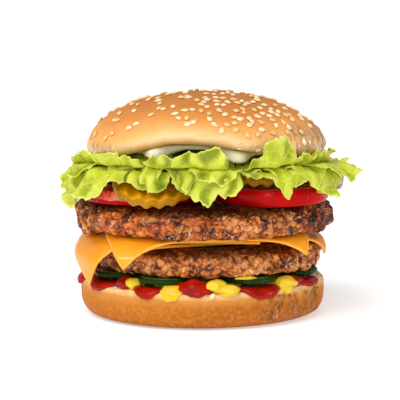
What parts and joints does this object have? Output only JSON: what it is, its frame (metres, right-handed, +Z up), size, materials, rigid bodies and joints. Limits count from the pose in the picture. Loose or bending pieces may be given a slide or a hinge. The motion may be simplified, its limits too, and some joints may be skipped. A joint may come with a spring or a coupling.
{
  "type": "cheeseburger",
  "caption": "Cheeseburger: seeded bun with patties, draped cheese, lettuce, tomato, onion, pickles and sauces, resting on its flat foot.",
  "frame": {"origin": "middle of the bottom bun's flat foot, on the surface that it rests on", "axes": "+Z up through the stack, -Y towards the shown front, +X to the right seen from the front"},
  "size_m": [0.1265, 0.1203, 0.0948],
  "materials": {
    "bun": "soft satin crust",
    "heel": "soft satin crust",
    "ketchup": "wet gloss",
    "mustard": "wet gloss",
    "chip": "wet gloss",
    "patty": "rough, glistening",
    "cheese": "soft gloss",
    "tomato": "wet gloss",
    "onion": "wet gloss",
    "pickle": "wet gloss",
    "lettuce": "crisp satin",
    "mayonnaise": "wet gloss"
  },
  "bodies": {
    "root": {"bun_bottom": "heel", "bun_top": "bun", "cheese_slice_front": "cheese", "cheese_slice_left": "cheese", "cheese_slice_right": "cheese", "ketchup": "ketchup", "lettuce_curl_front": "lettuce", "lettuce_curl_left": "lettuce", "lettuce_curl_right": "lettuce", "lettuce_curl_side": "lettuce", "lettuce_leaf_back": "lettuce", "lettuce_leaf_back_left": "lettuce", "lettuce_leaf_back_right": "lettuce", "lettuce_leaf_front": "lettuce", "lettuce_leaf_front_left": "lettuce", "lettuce_leaf_front_right": "lettuce", "lettuce_leaf_left": "lettuce", "lettuce_leaf_right": "lettuce", "mayonnaise": "mayonnaise", "mustard": "mustard", "onion_slice_left": "onion", "onion_slice_right": "onion", "patty_lower": "patty", "patty_upper": "patty", "pickle_lower_1": "chip", "pickle_lower_2": "chip", "pickle_lower_3": "chip", "pickle_lower_4": "chip", "pickle_lower_5": "chip", "pickle_lower_6": "chip", "pickle_lower_7": "chip", "pickle_lower_8": "chip", "pickle_upper_left": "pickle", "pickle_upper_right": "pickle", "pickle_upper_side": "pickle", "tomato_slice_back": "tomato", "tomato_slice_left": "tomato", "tomato_slice_right": "tomato"}
  },
  "joints": []
}
